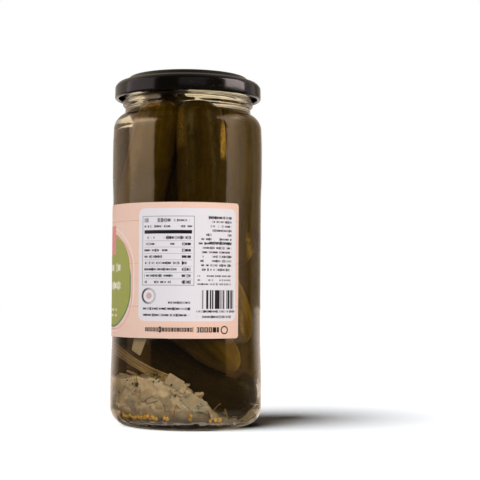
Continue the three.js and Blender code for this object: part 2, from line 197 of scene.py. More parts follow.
class Shader:
    """A material's or world's nodes."""

    def __init__(self, owner):
        owner.use_nodes = True
        self.owner = owner
        self.tree = owner.node_tree
        self.tree.nodes.clear()

    def add(self, kind, settings=(), inputs=(), output=0):
        """Add one node: settings first, then values or wires; returns the wire of an output."""
        made = self.tree.nodes.new(kind)
        for key, value in dict(settings).items():
            if key == "stops":
                for i, (place, colour) in enumerate(value):
                    stop = made.color_ramp.elements[i] if i < 2 else made.color_ramp.elements.new(place)
                    stop.position = place
                    stop.color = colour
            else:
                setattr(made, key, value)
        pairs = inputs.items() if isinstance(inputs, dict) else enumerate(inputs)
        for key, value in pairs:
            if isinstance(value, Wire):
                self.tree.links.new(value.socket, made.inputs[key])
            else:
                made.inputs[key].default_value = value
        return Wire(self, made.outputs[output]) if len(made.outputs) else made

    def blend(self, mask, first, second):
        """Colour first where the mask is 0, second where it is 1."""
        return self.add("ShaderNodeMix", {"data_type": "RGBA"}, {0: mask, 6: first, 7: second}, 2)

    def layer(self, colour, *marks):
        """Lay colours over one another, each with its own mask."""
        for mask, over in marks:
            colour = self.blend(mask, colour, over)
        return colour

    def spread(self, vector, scale):
        """A vector with each direction stretched by its own scale."""
        return self.add("ShaderNodeVectorMath", {"operation": "MULTIPLY"}, (vector, scale))

    def split(self, vector):
        """The x, y and z of a vector."""
        node = self.add("ShaderNodeSeparateXYZ", {}, (vector,)).socket.node
        return [Wire(self, socket) for socket in node.outputs]

    def join(self, x, y, z):
        return self.add("ShaderNodeCombineXYZ", {}, (x, y, z))

    def place(self):
        """The place on the object, in metres."""
        return self.add("ShaderNodeTexCoord", output="Object")

    def attribute(self, name, output="Fac"):
        return self.add("ShaderNodeAttribute", {"attribute_name": name}, output=output)

    def grain(self, vector, scale, detail=3.0, roughness=0.5, distortion=0.0):
        inputs = {"Vector": vector, "Scale": scale, "Detail": detail, "Roughness": roughness,
                  "Distortion": distortion}
        return self.add("ShaderNodeTexNoise", {}, inputs)

    def spots(self, vector, scale, feature="F1", output=0):
        inputs = {"Vector": vector, "Scale": scale}
        return self.add("ShaderNodeTexVoronoi", {"feature": feature}, inputs, output)

    def chance(self, *values):
        """A random number for each cell given by whole numbers."""
        cell = self.join(*values, *(0.0,) * (3 - len(values)))
        return self.add("ShaderNodeTexWhiteNoise", {"noise_dimensions": "3D"}, {"Vector": cell})

    def bump(self, height, distance, strength=1.0):
        inputs = {"Height": height, "Distance": distance, "Strength": strength}
        return self.add("ShaderNodeBump", {}, inputs)

    def surface(self, colour, roughness, others):
        inputs = {"Base Color": colour, "Roughness": roughness, **others}
        return self.add("ShaderNodeBsdfPrincipled", {}, inputs)

    def unseen_in_shadow(self, surface, colour):
        """The surface, but for shadow rays a clear tint."""
        clear = self.add("ShaderNodeBsdfTransparent", {}, {"Color": colour})
        shadow = self.add("ShaderNodeLightPath", output="Is Shadow Ray")
        return self.add("ShaderNodeMixShader", {}, (shadow, surface, clear))

    def finish(self, surface, volume=None):
        inputs = {"Surface": surface}
        if volume is not None:
            inputs["Volume"] = volume
        world = isinstance(self.owner, bpy.types.World)
        self.add("ShaderNodeOutputWorld" if world else "ShaderNodeOutputMaterial", {}, inputs)
        return self.owner


def shader_for(name):
    return Shader(bpy.data.materials.new(name))


# Outlines in mm, as (radius, height) points

def arc(centre, radius, start, end, steps):
    """Points on an arc, from one angle in degrees to another."""
    points = []
    for i in range(steps + 1):
        angle = math.radians(start + (end - start) * i / steps)
        points.append((centre[0] + radius * math.cos(angle), centre[1] + radius * math.sin(angle)))
    return points


def eased(points, reach, steps=4):
    """The same line with each corner rounded over a reach along both of its sides."""
    line = [points[0]]
    for before, corner, after in zip(points, points[1:], points[2:]):
        before, corner, after = Vector(before), Vector(corner), Vector(after)
        near = min(reach, (before - corner).length * 0.48)
        far = min(reach, (after - corner).length * 0.48)
        start = corner + (before - corner).normalized() * near
        end = corner + (after - corner).normalized() * far
        for i in range(steps + 1):
            t = i / steps
            point = start * (1 - t) ** 2 + corner * 2 * t * (1 - t) + end * t ** 2
            line.append(tuple(point))
    line.append(points[-1])
    return line


def filled_in(points, gap):
    """The same line with points added, so that none are further apart than the gap."""
    line = [points[0]]
    for start, end in zip(points, points[1:]):
        count = max(1, math.ceil(math.dist(start, end) / gap))
        for i in range(1, count + 1):
            line.append(tuple(Vector(start).lerp(Vector(end), i / count)))
    return line


def moved_aside(line, distance):
    """The same line moved to the right of its direction."""
    moved = []
    for i, (radius, z) in enumerate(line):
        run = Vector(line[min(len(line) - 1, i + 1)]) - Vector(line[max(0, i - 1)])
        run.normalize()
        moved.append((max(0.0, radius + distance * run.y), z - distance * run.x))
    return moved


def turned(outline, steps=TURN_STEPS, closed=False):
    """A full turn of an outline round Z. Each end lies on the axis, or the outline closes."""
    shape = bmesh.new()
    points = [shape.verts.new((radius * MM, 0, z * MM)) for radius, z in outline]
    edges = [shape.edges.new(pair) for pair in zip(points, points[1:])]
    if closed:
        edges.append(shape.edges.new((points[-1], points[0])))
    bmesh.ops.spin(shape, geom=points + edges, axis=(0, 0, 1), cent=(0, 0, 0),
                   steps=steps, angle=2 * math.pi, use_merge=True)
    bmesh.ops.remove_doubles(shape, verts=shape.verts, dist=1e-7)
    bmesh.ops.recalc_face_normals(shape, faces=shape.faces)
    return shape


def as_object(name, shape, materials):
    """Put a finished shape into the scene."""
    data = bpy.data.meshes.new(name)
    shape.to_mesh(data)
    shape.free()
    for material in materials:
        data.materials.append(material)
    made = bpy.data.objects.new(name, data)
    bpy.context.scene.collection.objects.link(made)
    return made


def as_piece(name, shape, materials, slot, *stands_for):
    """Make a finished shape a smooth piece of the jar."""
    piece = as_object(name, shape, materials)
    piece.data.polygons.foreach_set("use_smooth", [True] * len(piece.data.polygons))
    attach(piece, "root")
    if stands_for:
        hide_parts(*stands_for)
    return piece


def at_azimuth(azimuth, radius, z):
    """A place in mm at an azimuth in radians from the front towards +X."""
    return Vector((radius * math.sin(azimuth), -radius * math.cos(azimuth), z))


def scale_across(spot, factor):
    """Scale a place's distance from the axis."""
    spot.x *= factor
    spot.y *= factor


def keep_within(spot, limit):
    """Bring a place in mm back to a distance from the axis that it may not pass."""
    reach = math.hypot(spot.x, spot.y)
    if reach > limit:
        scale_across(spot, limit / reach)


# Jar and brine

def jar_outside():
    heel = HEEL_BAND_RADIUS - HEEL_RADIUS
    shoulder = SHOULDER_BAND_RADIUS - SHOULDER_RADIUS - 0.3
    body = eased([
        (0, BASE_RISE), (FOOT_INNER_RADIUS - 4, BASE_RISE), (FOOT_INNER_RADIUS - 2.4, BASE_RISE - 0.3),
        (FOOT_INNER_RADIUS, 0),
    ], 0.8)
    body += arc((heel, HEEL_RADIUS), HEEL_RADIUS, -90, 0, 24)
    body += eased([
        (HEEL_BAND_RADIUS, HEEL_RADIUS + 1), (HEEL_BAND_RADIUS, PANEL_BOTTOM - 16),
        (PANEL_RADIUS, PANEL_BOTTOM + 1), (PANEL_RADIUS, PANEL_TOP - 1),
        (SHOULDER_BAND_RADIUS, PANEL_TOP + 7), (SHOULDER_BAND_RADIUS, SHOULDER_BOTTOM - 7),
        (SHOULDER_BAND_RADIUS - 0.3, SHOULDER_BOTTOM - 0.5),
    ], 5.0, 8)
    body += arc((shoulder, SHOULDER_BOTTOM), SHOULDER_RADIUS, 0, math.degrees(SHOULDER_SWEEP), 20)
    neck = [
        body[-1], (NECK_RADIUS + 0.4, NECK_Z - 2.1), (NECK_RADIUS + 0.15, NECK_Z - 1.6),
        (NECK_RADIUS + 0.05, NECK_Z + 0.7), (NECK_RADIUS + 0.5, NECK_Z + 1.2),
        (BEAD_RADIUS + 0.15, BEAD_Z - 0.9), (BEAD_RADIUS + 0.25, BEAD_Z - 0.3),
        (BEAD_RADIUS + 0.2, BEAD_Z + 1.4), (FINISH_RADIUS, BEAD_Z + 2.1),
        (FINISH_RADIUS, RIM_Z - 0.9), (FINISH_RADIUS - 0.9, RIM_Z),
    ]
    return body + eased(neck, 0.6)[1:]


def jar_inside():
    """The inside from the mouth down to the middle of the floor."""
    heel = INNER_RADIUS - INNER_HEEL_RADIUS
    reach = SHOULDER_RADIUS - WALL
    shoulder = arc((INNER_RADIUS - reach, SHOULDER_BOTTOM), reach, 70, 0, 18)
    neck = [(MOUTH_RADIUS, RIM_Z - 0.9), (MOUTH_RADIUS, NECK_Z), (MOUTH_RADIUS - 0.2, NECK_Z - 2.2)]
    line = eased([*neck, shoulder[0]], 1.5)[:-1] + shoulder
    line += arc((heel, FLOOR_Z + INNER_HEEL_RADIUS), INNER_HEEL_RADIUS, 0, -90, 20)
    line += [(heel * 0.6, FLOOR_Z - 0.05), (heel * 0.3, FLOOR_Z - 0.2), (0, FLOOR_Z - 0.3)]
    return line


def thread_reach(azimuth, z):
    """How far the four thread leads stand out of the mouth's wall, in mm."""
    reach = 0.0
    for lead in range(THREAD_LEADS):
        start = THREAD_START + lead * 2 * math.pi / THREAD_LEADS
        t = ((azimuth - start) % (2 * math.pi)) / THREAD_SPAN
        if t <= 1:
            middle = THREAD_Z + THREAD_RISE * (t - 0.5)
            fade = min(1, 6 * t, 6 * (1 - t))
            reach = max(reach, THREAD_REACH * fade * max(0.0, 1 - ((z - middle) / 1.1) ** 2))
    return reach


def glass_material(name, specular, tint, shadow_tint):
    shader = shader_for(name)
    place = shader.place()
    wave = shader.grain(shader.spread(place, (1, 1, 0.5)), 55, 1.5)
    fine = shader.grain(place, 420, 2)
    normal = shader.bump(wave + fine * 0.03, 0.0003)
    smear = shader.grain(shader.spread(place, (1, 1, 0.35)), 130, 4, 0.6)
    surface = shader.surface((0.985, 0.99, 0.985, 1), smear.rise(0.35, 0.8) * 0.02, {
        "IOR": 1.5, "Transmission Weight": 1.0, "Specular IOR Level": specular, "Specular Tint": tint,
        "Normal": normal})
    return shader.finish(shader.unseen_in_shadow(surface, shadow_tint))


def brine_material():
    shader = shader_for("pickling_brine")
    place = shader.place()
    haze = shader.grain(place, 90, 2)
    surface = shader.surface((1.0, 0.985, 0.93, 1), haze.rise(0.3, 0.9) * 0.01, {
        "IOR": 1.33, "Transmission Weight": 1.0, "Specular IOR Level": 0.0})
    depth = {"Color": (0.86, 0.72, 0.34, 1), "Density": 14.0}
    absorbing = shader.add("ShaderNodeVolumeAbsorption", {}, depth)
    return shader.finish(shader.unseen_in_shadow(surface, (0.96, 0.93, 0.8, 1)), absorbing)


def make_jar():
    """The glass, with its wet inner face as a second material."""
    outline = filled_in(jar_outside(), 3.0)
    finish_from = next(i for i, (radius, z) in enumerate(outline) if z > BEAD_Z + 2.2)
    outline = outline[:finish_from] + filled_in(outline[finish_from:], 0.4)
    rim = [(FINISH_RADIUS - 0.9, RIM_Z), (MOUTH_RADIUS + 0.9, RIM_Z), (MOUTH_RADIUS, RIM_Z - 0.9)]
    outline += eased(rim, 0.3)[1:]
    outline += filled_in(jar_inside(), 3.0)[1:]
    shape = turned(outline)
    for vert in shape.verts:
        radius = math.hypot(vert.co.x, vert.co.y) / MM
        z = vert.co.z / MM
        if z < 6 and radius > 25:
            ripple = noise.noise(Vector((vert.co.x * 420, vert.co.y * 420, z * 0.5)))
            scale_across(vert.co, 1 + 0.32 * ripple * min(1, (6 - z) / 2, (radius - 25) / 2) / radius)
        if z > 162 and radius > 31:
            azimuth = math.atan2(vert.co.x, -vert.co.y)
            scale_across(vert.co, 1 + thread_reach(azimuth, z) / radius)
    for face in shape.faces:
        centre = face.calc_center_median() / MM
        outward = Vector((centre.x, centre.y, 0)).normalized()
        inner = face.normal.dot(outward) < -0.02 or (face.normal.z > 0.4 and centre.z < 14)
        face.material_index = 1 if inner and centre.z < BRINE_LEVEL else 0
    bright = glass_material("clear_jar_glass", 0.5, (1, 0.5, 0.12, 1), (0.97, 0.97, 0.96, 1))
    wet = glass_material("wet_inner_glass", 0.0, (1, 1, 1, 1), (1, 1, 1, 1))
    return as_piece("jar_glass", shape, [bright, wet], "jar_glass", "jar")


def make_brine():
    outline = []
    for radius, z in filled_in(jar_inside(), 3.0):
        if z < BRINE_LEVEL:
            out = BRINE_INTO_WALL if radius > 0 else 0
            down = BRINE_INTO_WALL if z < FLOOR_Z + 7 else 0
            outline.append((radius + out, z - down))
    top = [(0, BRINE_LEVEL), (MOUTH_RADIUS - 3, BRINE_LEVEL), (MOUTH_RADIUS - 0.8, BRINE_LEVEL + 0.25),
           (MOUTH_RADIUS + BRINE_INTO_WALL, BRINE_LEVEL + 0.9)]
    shape = turned(eased(top, 1.0) + outline)
    return as_piece("brine", shape, [brine_material()], "jar_glass")


# Cap

def lacquer_material():
    shader = shader_for("black_cap_lacquer")
    place = shader.place()
    dust = shader.grain(place, 900, 5, 0.7)
    scratch = shader.grain(shader.spread(place, (1, 1, 6)), 320, 4, 0.65, 0.4)
    lines = scratch.rise(0.62, 0.68) * shader.grain(place, 60, 2).rise(0.45, 0.6)
    orange_peel = shader.grain(place, 700, 2)
    colour = shader.layer(
        tone(12, 9, 7), (dust.rise(0.6, 0.78) * 0.35, tone(34, 30, 27)), (lines * 0.5, tone(52, 47, 44)))
    roughness = shader.grain(place, 240, 4).rise(0.2, 0.9) * 0.12 + 0.1 + lines * 0.2
    return shader.finish(shader.surface(colour, roughness, {
        "IOR": 1.5, "Specular IOR Level": 0.5, "Normal": shader.bump(orange_peel, 0.00003, 0.6)}))


def make_lid():
    panel = LID_TOP_Z - 0.55
    button = panel - 0.5
    outside = eased([
        (0, button), (LID_BUTTON_RADIUS, button), (LID_BUTTON_RADIUS + 1.2, panel),
        (LID_PANEL_RADIUS, panel), (LID_PANEL_RADIUS + 1.1, LID_TOP_Z), (LID_RING_RADIUS - 0.65, LID_TOP_Z),
        (LID_RING_RADIUS, LID_TOP_Z - 0.65), (LID_RING_RADIUS + 1.4, LID_SHOULDER_Z + 0.45),
        (LID_RADIUS - 1.7, LID_SHOULDER_Z), (LID_RADIUS - 0.1, LID_SHOULDER_Z - 1.9),
        (LID_RADIUS, LID_BOTTOM + 2 * CURL_RADIUS + 0.3),
    ], 0.8, 5)
    inside = moved_aside(outside, LID_SHEET)
    curl = arc((LID_RADIUS - CURL_RADIUS, LID_BOTTOM + CURL_RADIUS), CURL_RADIUS, 0, -220, 18)
    shape = turned(filled_in(outside[:-1] + curl + inside[::-1], 3.0))
    for lug in range(THREAD_LEADS):
        press_lug(shape, math.radians(LUG_AZIMUTH + lug * 90))
    return as_piece("twist_off_cap", shape, [lacquer_material()], "black_lacquer", "lid")


def press_lug(shape, middle):
    """Press the curl inwards over a short arc, as a lug under the thread."""
    for vert in shape.verts:
        z = vert.co.z / MM
        radius = math.hypot(vert.co.x, vert.co.y) / MM
        if z > LID_BOTTOM + 2.1 or radius < 33:
            continue
        turn = (math.atan2(vert.co.x, -vert.co.y) - middle + math.pi) % (2 * math.pi) - math.pi
        near = max(0.0, 1 - (turn / LUG_HALF_SPAN) ** 4)
        inner = min(1.0, max(0.0, (LID_RADIUS - LID_SHEET - radius) / 1.2))
        scale_across(vert.co, 1 - LUG_REACH * near * inner / radius)


# Label

class Print:
    """Flat print on the label, from u, the arc length, and v, the height, both in mm."""

    def __init__(self, shader, u, v):
        self.shader = shader
        self.u = u
        self.v = v

    def box(self, left, right, bottom, top, soft=0.12):
        across = self.u.rise(left - soft, left + soft) * self.u.rise(right + soft, right - soft)
        return across * self.v.rise(bottom - soft, bottom + soft) * self.v.rise(top + soft, top - soft)

    def rounded(self, left, right, bottom, top, corner, soft=0.15, grow=0.0):
        """A box with rounded corners; grow moves its edge outwards."""
        away_u = ((self.u - (left + right) / 2).size() - ((right - left) / 2 - corner)).most(0)
        away_v = ((self.v - (bottom + top) / 2).size() - ((top - bottom) / 2 - corner)).most(0)
        away = (away_u * away_u + away_v * away_v) ** 0.5
        return away.rise(corner + grow + soft, corner + grow - soft)

    def away(self, u, v):
        """How far a place is from a point."""
        across = self.u - u
        up = self.v - v
        return (across * across + up * up) ** 0.5

    def ring(self, u, v, radius, thickness):
        return (self.away(u, v) - radius).size().rise(thickness / 2 + 0.1, thickness / 2 - 0.1)

    def disc(self, u, v, radius, soft=0.2):
        return self.away(u, v).rise(radius + soft, radius - soft)

    def slice(self, u, v, radius, inner, seeds, thickness):
        """A slice of gherkin: its rind, its flesh and the ring of its seeds."""
        return [
            (self.disc(u, v, radius), tone(122, 150, 70)), (self.disc(u, v, inner), tone(206, 214, 150)),
            (self.ring(u, v, seeds, thickness), tone(176, 190, 110))]

    def dashes(self, left, right, bottom, top, rows, height, cell, seed, ragged="", filled=0.72):
        """Rows of short dashes in place of lines of type."""
        pitch = (top - bottom) / rows
        row = ((self.v - bottom) / pitch).floor()
        up = (((self.v - bottom) / pitch).fraction() - 0.5).size() * pitch
        edge = self.shader.chance(row, seed + 0.5) * (right - left) * 0.42
        start = edge + left if ragged == "left" else left
        end = right - edge if ragged == "right" else right
        within = (self.u - start).above(0) * (self.u - end).below(0)
        within = within * (self.v - bottom).above(0) * (self.v - top).below(0)
        letters = self.shader.chance((self.u / cell).floor(), row, seed)
        words = self.shader.chance((self.u / (cell * 5.3)).floor(), row, seed + 7.0)
        stems = self.shader.chance((self.u / (cell * 0.45)).floor(), row, seed + 3.0)
        line = (up / (0.35 + letters.above(filled * 0.7) * 0.15) / height).rise(1.12, 0.88)
        ink = letters.rise(filled + 0.18, filled - 0.12) * words.rise(0.1, 0.2)
        if cell > 1.2:
            across = ((self.u / cell).fraction() - 0.5).size()
            hollow = across.rise(0.22, 0.14) * (up / height).rise(0.28, 0.2) * stems.rise(0.2, 0.4)
            return line * within * ink * across.rise(0.47, 0.39) * (1 - hollow * 0.6)
        return line * within * ink * (0.55 + stems.rise(0.1, 0.6) * 0.45)


LABEL_FIELDS = {
    # name: the part of the print, as left, right, bottom and top in mm
    "front": (-153, FRONT_END, 40, 110),
    "table": (FRONT_END, TABLE_END, FOOT_TOP, 110),
    "list": (TABLE_END, 30, FOOT_TOP, 110),
    "foot": (FRONT_END, TABLE_END, 40, FOOT_TOP),
    "bars": (TABLE_END, 30, 40, FOOT_TOP),
}
INK = tone(30, 26, 30)
GREY_INK = tone(70, 64, 70)
BLACK_INK = tone(20, 17, 19)
SALMON = tone(238, 198, 179)
CORAL = tone(226, 141, 135)


def front_marks(art):
    """An olive shield with a teal edge, loose outlines, plain dashes and slices."""
    shield = art.rounded(-89.0, -30.6, 49.6, 94.0, 17)
    teal = art.rounded(-88.0, -29.8, 48.6, 90.0, 18)
    outer = (-92, -27.6, 46.5, 96.8, 20)
    inner = (-90.5, -28.8, 47.4, 92.5, 16)
    outline = art.rounded(*outer) - art.rounded(*outer, grow=-0.35)
    coral = art.rounded(*inner) - art.rounded(*inner, grow=-0.4)
    return [
        (outline, tone(250, 236, 228)), (teal, tone(70, 126, 92)), (shield, tone(158, 160, 66)),
        (coral, CORAL), (art.box(-75, -44.5, 84, 98), CORAL),
        (art.dashes(-79, -38.5, 74.5, 80.5, 1, 4.2, 2.6, 21.0), tone(244, 240, 220)),
        (art.dashes(-76, -38.5, 66.0, 71.6, 1, 4.0, 2.2, 22.0), tone(244, 240, 220)),
        (art.dashes(-74, -42.5, 53.0, 58.4, 2, 1.4, 1.0, 23.0), tone(232, 230, 190)),
        *art.slice(-108, 62, 9.5, 8.3, 4.6, 1.3), *art.slice(-119, 55.5, 7.5, 6.4, 3.6, 1.0)]


def table_marks(art):
    """A framed table: bold heading, bar, and eight ruled rows."""
    frame_line = art.box(-22.45, 3.55, 68.9, 101.8) - art.box(-22.2, 3.3, 69.15, 101.55)
    rules = (((art.v - 69.0) / 3.0).fraction() - 0.5).size().rise(0.455, 0.485)
    rules = rules * art.box(-21.4, 2.6, 71.0, 91.8)
    return [
        (frame_line * 0.8, INK), (rules * 0.6, GREY_INK), (art.box(-21.4, 2.4, 93.4, 95.1), BLACK_INK),
        (art.dashes(-21.4, -7.7, 98.2, 101.4, 1, 2.0, 0.9, 1.0, filled=0.9), INK),
        (art.dashes(-6.3, 2.4, 98.2, 101.2, 1, 1.3, 0.8, 2.0), GREY_INK),
        (art.dashes(-21.4, -8.0, 95.7, 98.0, 1, 1.3, 0.7, 3.0), GREY_INK),
        (art.dashes(-3.0, 2.4, 95.9, 97.8, 1, 1.1, 0.8, 4.0), GREY_INK),
        (art.dashes(-21.4, -3.0, 69.0, 93.0, 8, 1.35, 0.75, 5.0, "right"), GREY_INK),
        (art.dashes(-10.2, 1.9, 90.0, 93.0, 1, 1.7, 0.8, 6.0, filled=0.9), INK),
        (art.dashes(-2.4, 1.9, 69.0, 90.0, 7, 1.7, 0.9, 7.0, filled=0.85), INK)]


def list_marks(art):
    """A column of short lines set to the right, two of them bold."""
    return [
        (art.dashes(5.0, 22.6, 75.4, 102.2, 13, 1.25, 0.75, 8.0, "left"), GREY_INK),
        (art.dashes(10.3, 22.6, 99.95, 102.3, 1, 1.5, 0.8, 9.0, filled=0.92), INK),
        (art.dashes(10.6, 22.6, 87.9, 90.3, 1, 1.5, 0.8, 10.0, filled=0.95), INK),
        (art.dashes(5.0, 22.2, 68.6, 74.4, 3, 1.0, 0.6, 11.0, filled=0.8), GREY_INK)]


def foot_marks(art):
    """A round mark, three lines of small type and one of large type."""
    mark = art.ring(-18.8, 63.9, 3.4, 1.0) * (0.35 + 0.65 * (art.u + 18.8).rise(1.5, -2.5))
    return [
        (mark, tone(70, 52, 66)), (art.disc(-18.6, 64.0, 1.5) * 0.6, tone(190, 120, 110)),
        (art.dashes(-8.8, 1.7, 59.6, 62.0, 1, 1.3, 0.7, 14.0, filled=0.85), INK),
        (art.dashes(-21.9, 1.7, 56.7, 59.1, 1, 1.3, 0.7, 15.0, filled=0.9), INK),
        (art.dashes(-21.9, 1.7, 53.7, 56.1, 1, 1.3, 0.7, 16.0, filled=0.9), INK),
        (art.dashes(-20.6, 3.3, 46.0, 50.2, 1, 2.7, 1.5, 17.0, filled=1.1), BLACK_INK)]


def bars_marks(art):
    """Upright bars with a row of dashes under them, and large type."""
    bars = art.shader.chance((art.u / 0.36).floor(), 3.0).rise(0.42, 0.5) * art.box(6.5, 23.9, 57.9, 66.8)
    return [
        (bars, tone(34, 30, 34)),
        (art.dashes(4.6, 24.6, 55.9, 57.5, 1, 1.2, 0.8, 12.0, filled=0.85), INK),
        (art.dashes(4.5, 22.5, 53.1, 55.2, 1, 1.4, 0.7, 13.0, filled=0.9), GREY_INK),
        (art.dashes(4.9, 15.9, 45.8, 50.3, 1, 3.5, 2.1, 18.0, filled=1.3), BLACK_INK),
        (art.ring(18.8, 47.9, 1.7, 0.6), tone(30, 26, 28))]


FIELD_MARKS = {
    "front": front_marks, "table": table_marks, "list": list_marks, "foot": foot_marks, "bars": bars_marks}


def label_material(field):
    shader = shader_for("printed_paper_" + field)
    u, v, _ = shader.split(shader.add("ShaderNodeUVMap", {"uv_map": "print"}))
    art = Print(shader, u, v)
    flat = shader.join(u * 0.05, v, 0.0)
    wood = shader.grain(flat, 1.1, 4, 0.6, 0.6)
    blotch = shader.grain(shader.join(u * 0.02, v * 0.08, 3.0), 1.0, 3)
    board = (v + 2.6) / 20.5
    seam = (board.fraction() - 0.5).size().rise(0.489, 0.496)
    broken = shader.grain(flat, 0.35, 2).rise(0.4, 0.6)
    ends = ((u + board.floor() * 23.7) / 61.0).fraction().rise(0.9955, 0.999) * broken
    joint = tone(214, 160, 140)
    colour = shader.layer(
        SALMON, (blotch.rise(0.35, 0.75), tone(242, 208, 190)),
        (wood.rise(0.6, 0.8) * 0.4, tone(229, 184, 164)),
        (seam * (0.25 + broken * 0.65), joint), (ends * 0.6, joint))
    if field != "front":
        colour = shader.layer(colour, (art.rounded(-24.6, 25.15, 52.1, 105.6, 3.0), tone(231, 226, 231)))
    colour = shader.layer(colour, *FIELD_MARKS[field](art))
    fibre = shader.grain(shader.join(u, v * 2.5, 0.0), 2.2, 5, 0.65)
    return shader.finish(shader.surface(colour, 0.42 + 0.14 * fibre, {
        "Specular IOR Level": 0.35, "Normal": shader.bump(fibre, 0.00003, 0.5)}))


def make_label():
    shape = bmesh.new()
    corners = [(LABEL_LEFT, LABEL_BOTTOM), (LABEL_RIGHT, LABEL_BOTTOM),
               (LABEL_RIGHT, LABEL_TOP), (LABEL_LEFT, LABEL_TOP)]
    points = [shape.verts.new((u * MM, 0, z * MM)) for u, z in corners]
    shape.faces.new(points)
    bmesh.ops.bevel(shape, geom=points, offset=LABEL_CORNER * MM, offset_type="OFFSET", segments=8,
                    profile=0.5, affect="VERTICES", material=-1)
    width = LABEL_RIGHT - LABEL_LEFT
    upright = [LABEL_LEFT + width * i / LABEL_COLUMNS for i in range(1, LABEL_COLUMNS)]
    cuts = [((u, 0, 0), (1, 0, 0)) for u in [*upright, FRONT_END, TABLE_END]]
    cuts.append(((0, 0, FOOT_TOP), (0, 0, 1)))
    for place, across in cuts:
        geometry = shape.verts[:] + shape.edges[:] + shape.faces[:]
        bmesh.ops.bisect_plane(
            shape, geom=geometry, plane_co=Vector(place) * MM, plane_no=across, dist=1e-9)
    uv = shape.loops.layers.uv.new("print")
    for face in shape.faces:
        for loop in face.loops:
            loop[uv].uv = (loop.vert.co.x / MM, loop.vert.co.z / MM)
        centre = face.calc_center_median() / MM
        for number, (left, right, bottom, top) in enumerate(LABEL_FIELDS.values()):
            if left < centre.x < right and bottom < centre.z < top:
                face.material_index = number
    for vert in shape.verts:
        place = at_azimuth(vert.co.x / MM / LABEL_RADIUS, LABEL_RADIUS, vert.co.z / MM)
        vert.co = place * MM
    bmesh.ops.recalc_face_normals(shape, faces=shape.faces)
    middle = shape.faces[:][0]
    if middle.normal.dot(middle.calc_center_median()) < 0:
        bmesh.ops.reverse_faces(shape, faces=shape.faces)
    bmesh.ops.solidify(shape, geom=shape.faces[:], thickness=LABEL_PAPER * MM)
    for edge in shape.edges:
        edge.smooth = edge.calc_face_angle(0) < SHARP_ANGLE
    materials = [label_material(field) for field in LABEL_FIELDS]
    return as_piece("paper_label", shape, materials, "label_paper", "label")


# Gherkins

def smooth_path(points, count):
    """Evenly numbered places on a smooth line through the points."""
    points = [Vector(point) for point in points]
    ends = [points[0] * 2 - points[1]] + points + [points[-1] * 2 - points[-2]]
    places = []
    for i in range(count + 1):
        at = i / count * (len(points) - 1)
        span = min(int(at), len(points) - 2)
        t = at - span
        a, b, c, d = ends[span:span + 4]
        places.append(0.5 * ((2 * b) + (c - a) * t + (2 * a - 5 * b + 4 * c - d) * t ** 2
                             + (3 * b - a - 3 * c + d) * t ** 3))
    return places


def path_frames(places):
    """A side and an up direction at each place, without twist."""
    side = None
    frames = []
    for i, place in enumerate(places):
        run = (places[min(i + 1, len(places) - 1)] - places[max(i - 1, 0)]).normalized()
        if side is None:
            side = run.orthogonal().normalized()
        side = (side - run * side.dot(run)).normalized()
        frames.append((side, run.cross(side)))
    return frames


SKIN = {
    # name: dark tone, light tone, how pale the far tip is
    "front_right": (tone(36, 22, 0), tone(62, 43, 1), 0.2),
    "front_left": (tone(57, 39, 0), tone(93, 67, 3), 0.4),
    "far_left": (tone(56, 40, 3), tone(80, 60, 10), 0.3),
    "right_upper": (tone(54, 38, 2), tone(92, 68, 10), 0.5),
    "right_slant": (tone(80, 56, 0), tone(126, 94, 8), 0.6),
    "right_back": (tone(62, 45, 4), tone(102, 78, 16), 0.3),
    "under_label": (tone(42, 27, 0), tone(98, 72, 4), 0.9),
    "bottom_slant": (tone(24, 15, 2), tone(40, 27, 5), 0.0),
}


PAINTED_GLINTS = {
    # name: painted highlights, speckled gold glints of the lamps on the wet skin,
    # each with its middle and half width in x, its lowest and highest z, and its strength
    "front_right": [(16.1, 1.35, 129, 149, 1.0), (-3.2, 3.0, 134, 156, 0.2)],
    "right_upper": [(27.4, 1.6, 79, 96, 0.55)],
    "right_slant": [(25.2, 1.4, 44, 58, 0.6)],
}


def skin_material(name):
    dark, light, tip = SKIN.get(name, (tone(64, 44, 2), tone(102, 76, 12), 0.3))
    shader = shader_for("skin_" + name)
    along = shader.attribute("skin_place", "Vector")
    end = shader.attribute("tip")
    streaks = shader.grain(shader.spread(along, (1, 1, 0.07)), 0.42, 4, 0.6)
    blotches = shader.grain(along, 0.11, 3, 0.55)
    fine = shader.grain(along, 1.6, 4, 0.65)
    pores = shader.spots(along, 0.85).rise(0.26, 0.12)
    wart = shader.spots(along, 0.24).rise(0.32, 0.05)
    x, _, height = shader.split(shader.place())
    pale = shader.blend(0.5, light, tone(150, 122, 52))
    mix = (streaks * 0.8 + blotches * 0.55 + fine * 0.2 - 0.28).rise(0.3, 0.68)
    colour = shader.layer(
        dark, (mix, light), (pores * 0.3, pale), (wart * 0.25, light), (end * tip, pale))
    # Painted highlights: speckled gold glints laid into the skin's colour
    for side, half, low, high, strength in PAINTED_GLINTS.get(name, ()):
        near = ((x / MM - side) / half).size().rise(1.0, 0.3) * (height / MM).rise(low, low + 4)
        flecks = shader.grain(shader.spread(along, (1, 1, 0.4)), 1.9, 4, 0.7).rise(0.45, 0.57)
        mask = near * (height / MM).rise(high, high - 4) * (0.15 + flecks * 0.85) * strength
        colour = shader.blend(mask, colour, tone(236, 184, 84))
    relief = wart + streaks * 0.7 + fine * 0.03
    return shader.finish(shader.surface(colour, 0.22 + 0.2 * fine, {
        "IOR": 1.45, "Specular IOR Level": 0.5, "Specular Tint": (1, 0.8, 0.35, 1),
        "Normal": shader.bump(relief, 0.0005, 0.8)}))


